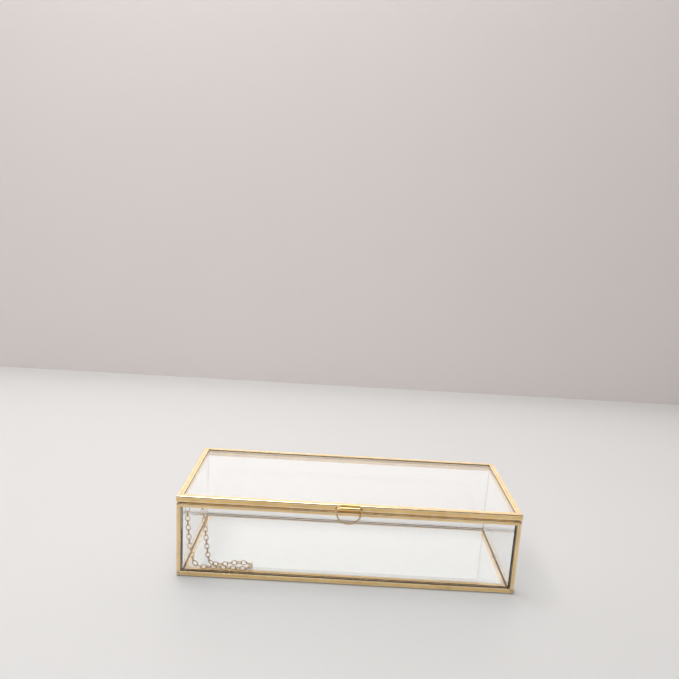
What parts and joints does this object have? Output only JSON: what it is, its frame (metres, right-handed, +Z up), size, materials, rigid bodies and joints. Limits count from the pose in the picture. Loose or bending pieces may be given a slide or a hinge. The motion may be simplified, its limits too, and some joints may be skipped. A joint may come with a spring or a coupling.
{
  "type": "jewelry box",
  "caption": "Low rectangular clear glass jewelry box edged in brass, with a hinged glass lid on a rear rod, a swinging D-ring pull and a link chain that stays the open lid.",
  "frame": {"origin": "middle of the underside of the closed box", "axes": "+X along the box's width, to the right seen from the front; +Y to the hinge at the back; +Z up"},
  "size_m": [0.2, 0.1044, 0.0504],
  "materials": {
    "brass_sheet": "polished folded sheet, hand soldered",
    "brass_wire": "polished wire",
    "chain_wire": "polished wire links",
    "solder": "gold washed solder, softly rounded",
    "clear_glass": "clear polished float glass",
    "clear_bond": "clear cured adhesive"
  },
  "bodies": {
    "box": {"base_pane": "clear_glass", "front_pane": "clear_glass", "back_pane": "clear_glass", "left_pane": "clear_glass", "right_pane": "clear_glass", "corner_bonds": "clear_bond", "front_bottom_rail": "brass_sheet", "front_top_rail": "brass_sheet", "front_left_post": "brass_sheet", "front_right_post": "brass_sheet", "left_base_rail": "brass_sheet", "right_base_rail": "brass_sheet", "back_base_rail": "brass_sheet", "left_top_rail": "brass_sheet", "right_top_rail": "brass_sheet", "back_top_rail": "brass_sheet", "hinge_rod": "brass_wire", "rod_solder": "solder", "chain_staple": "brass_wire"},
    "lid": {"lid_pane": "clear_glass", "lid_front_rail": "brass_sheet", "lid_back_rail": "brass_sheet", "lid_left_rail": "brass_sheet", "lid_right_rail": "brass_sheet", "hinge_tube": "brass_sheet", "pull_tab": "brass_sheet", "lid_chain_eye": "brass_wire"},
    "ring": {"pull_ring": "brass_wire"},
    "chain_01_links": {"chain_01": "chain_wire"},
    "chain_02_links": {"chain_02": "chain_wire"},
    "chain_03_links": {"chain_03": "chain_wire"},
    "chain_04_links": {"chain_04": "chain_wire"},
    "chain_05_links": {"chain_05": "chain_wire"},
    "chain_06_links": {"chain_06": "chain_wire"},
    "chain_07_links": {"chain_07": "chain_wire"},
    "chain_19_links": {"chain_19": "chain_wire"},
    "chain_18_links": {"chain_18": "chain_wire"},
    "chain_17_links": {"chain_17": "chain_wire"},
    "chain_16_links": {"chain_16": "chain_wire"},
    "chain_15_links": {"chain_15": "chain_wire"},
    "chain_14_links": {"chain_14": "chain_wire"},
    "chain_13_links": {"chain_13": "chain_wire"},
    "chain_12_links": {"chain_12": "chain_wire"},
    "chain_11_links": {"chain_11": "chain_wire"},
    "chain_10_links": {"chain_10": "chain_wire"},
    "chain_09_links": {"chain_09": "chain_wire"},
    "chain_08_links": {"chain_08": "chain_wire"}
  },
  "joints": [
    {"name": "lid_hinge", "type": "hinge", "parent": "box", "child": "lid", "pos_m": [0, 0.0511, 0.0481], "axis": [-1, 0, 0], "range_deg": [0, 96.2]},
    {"name": "pull_swing", "type": "hinge", "parent": "lid", "child": "ring", "pos_m": [-0.0005, -0.05103, 0.0481], "axis": [-1, 0, 0], "range_deg": [0, 180]},
    {"name": "chain_01_swing", "type": "hinge", "parent": "box", "child": "chain_01_links", "pos_m": [-0.0945, -0.04415, 0.0446], "axis": [0.883, -0.439, 0.1662], "range_deg": [0, 137.14]},
    {"name": "chain_02_swing", "type": "hinge", "parent": "chain_01_links", "child": "chain_02_links", "pos_m": [-0.0942, -0.04415, 0.03332], "axis": [-0.0521, 0.0853, 0.995], "range_deg": [0, 34.18]},
    {"name": "chain_03_swing", "type": "hinge", "parent": "chain_02_links", "child": "chain_03_links", "pos_m": [-0.09306, -0.04415, 0.01886], "axis": [-0.1751, 0.2824, 0.9432], "range_deg": [0, 24.13]},
    {"name": "chain_04_swing", "type": "hinge", "parent": "chain_03_links", "child": "chain_04_links", "pos_m": [-0.09073, -0.04395, 0.0075], "axis": [-0.1008, 0.8843, 0.4559], "range_deg": [0, 36.7]},
    {"name": "chain_05_swing", "type": "hinge", "parent": "chain_04_links", "child": "chain_05_links", "pos_m": [-0.08872, -0.04412, 0.00542], "axis": [0.845, 0.3551, -0.3998], "range_deg": [0, 59.69]},
    {"name": "chain_06_swing", "type": "hinge", "parent": "chain_05_links", "child": "chain_06_links", "pos_m": [-0.08597, -0.04461, 0.00462], "axis": [-0.031, 0.7148, -0.6986], "range_deg": [0, 22.55]},
    {"name": "chain_07_swing", "type": "hinge", "parent": "chain_06_links", "child": "chain_07_links", "pos_m": [-0.07444, -0.04339, 0.00462], "axis": [-0.9536, -0.025, 0.3002], "range_deg": [0, 29.43]},
    {"name": "chain_19_swing", "type": "hinge", "parent": "lid", "child": "chain_19_links", "pos_m": [-0.0859, -0.0443, 0.04335], "axis": [0.6703, -0.1995, 0.7147], "range_deg": [0, 58.75]},
    {"name": "chain_18_swing", "type": "hinge", "parent": "chain_19_links", "child": "chain_18_links", "pos_m": [-0.08482, -0.0431, 0.03511], "axis": [-0.0666, -0.1786, 0.9817], "range_deg": [0, 40.14]},
    {"name": "chain_17_swing", "type": "hinge", "parent": "chain_18_links", "child": "chain_17_links", "pos_m": [-0.08361, -0.04149, 0.02076], "axis": [-0.0838, -0.1111, 0.9903], "range_deg": [0, 40.05]},
    {"name": "chain_16_swing", "type": "hinge", "parent": "chain_17_links", "child": "chain_16_links", "pos_m": [-0.08264, -0.0402, 0.00927], "axis": [-0.1139, 0.2135, 0.9703], "range_deg": [0, 33.75]},
    {"name": "chain_15_swing", "type": "hinge", "parent": "chain_16_links", "child": "chain_15_links", "pos_m": [-0.08187, -0.03998, 0.00648], "axis": [-0.3244, 0.8826, 0.3404], "range_deg": [0, 36.49]},
    {"name": "chain_14_swing", "type": "hinge", "parent": "chain_15_links", "child": "chain_14_links", "pos_m": [-0.07968, -0.0396, 0.00462], "axis": [-0.3241, 0.9089, 0.2623], "range_deg": [0, 42.65]},
    {"name": "chain_13_swing", "type": "hinge", "parent": "chain_14_links", "child": "chain_13_links", "pos_m": [-0.07389, -0.0394, 0.00462], "axis": [-0.3218, -0.0773, -0.9436], "range_deg": [0, 24.38]},
    {"name": "chain_12_swing", "type": "hinge", "parent": "chain_13_links", "child": "chain_12_links", "pos_m": [-0.066, -0.03572, 0.00462], "axis": [-0.3659, -0.0811, 0.9271], "range_deg": [0, 26.95]},
    {"name": "chain_11_swing", "type": "hinge", "parent": "chain_12_links", "child": "chain_11_links", "pos_m": [-0.0602, -0.03572, 0.00462], "axis": [-0.4379, 0.1173, 0.8913], "range_deg": [0, 33.51]},
    {"name": "chain_10_swing", "type": "hinge", "parent": "chain_11_links", "child": "chain_10_links", "pos_m": [-0.05769, -0.03717, 0.00462], "axis": [-0.2737, 0.3149, 0.9088], "range_deg": [0, 41.55]},
    {"name": "chain_09_swing", "type": "hinge", "parent": "chain_10_links", "child": "chain_09_links", "pos_m": [-0.0566, -0.03986, 0.00462], "axis": [-0.011, 0.3159, 0.9487], "range_deg": [0, 42.03]},
    {"name": "chain_08_swing", "type": "hinge", "parent": "chain_09_links", "child": "chain_08_links", "pos_m": [-0.0575, -0.04262, 0.00462], "axis": [0.0625, 0.08, 0.9948], "range_deg": [0, 40.24]}
  ],
  "couplings": [
    {"joint": "chain_01_swing", "follows": "lid_hinge", "ratio": 1.425},
    {"joint": "chain_02_swing", "follows": "lid_hinge", "ratio": 0.35476},
    {"joint": "chain_03_swing", "follows": "lid_hinge", "ratio": 0.25027},
    {"joint": "chain_04_swing", "follows": "lid_hinge", "ratio": 0.38095},
    {"joint": "chain_05_swing", "follows": "lid_hinge", "ratio": 0.61998},
    {"joint": "chain_06_swing", "follows": "lid_hinge", "ratio": 0.23389},
    {"joint": "chain_07_swing", "follows": "lid_hinge", "ratio": 0.30543},
    {"joint": "chain_19_swing", "follows": "lid_hinge", "ratio": 0.61022},
    {"joint": "chain_18_swing", "follows": "lid_hinge", "ratio": 0.41674},
    {"joint": "chain_17_swing", "follows": "lid_hinge", "ratio": 0.41579},
    {"joint": "chain_16_swing", "follows": "lid_hinge", "ratio": 0.35034},
    {"joint": "chain_15_swing", "follows": "lid_hinge", "ratio": 0.37881},
    {"joint": "chain_14_swing", "follows": "lid_hinge", "ratio": 0.44286},
    {"joint": "chain_13_swing", "follows": "lid_hinge", "ratio": 0.25295},
    {"joint": "chain_12_swing", "follows": "lid_hinge", "ratio": 0.27958},
    {"joint": "chain_11_swing", "follows": "lid_hinge", "ratio": 0.34785},
    {"joint": "chain_10_swing", "follows": "lid_hinge", "ratio": 0.43139},
    {"joint": "chain_09_swing", "follows": "lid_hinge", "ratio": 0.43634},
    {"joint": "chain_08_swing", "follows": "lid_hinge", "ratio": 0.41778}
  ]
}
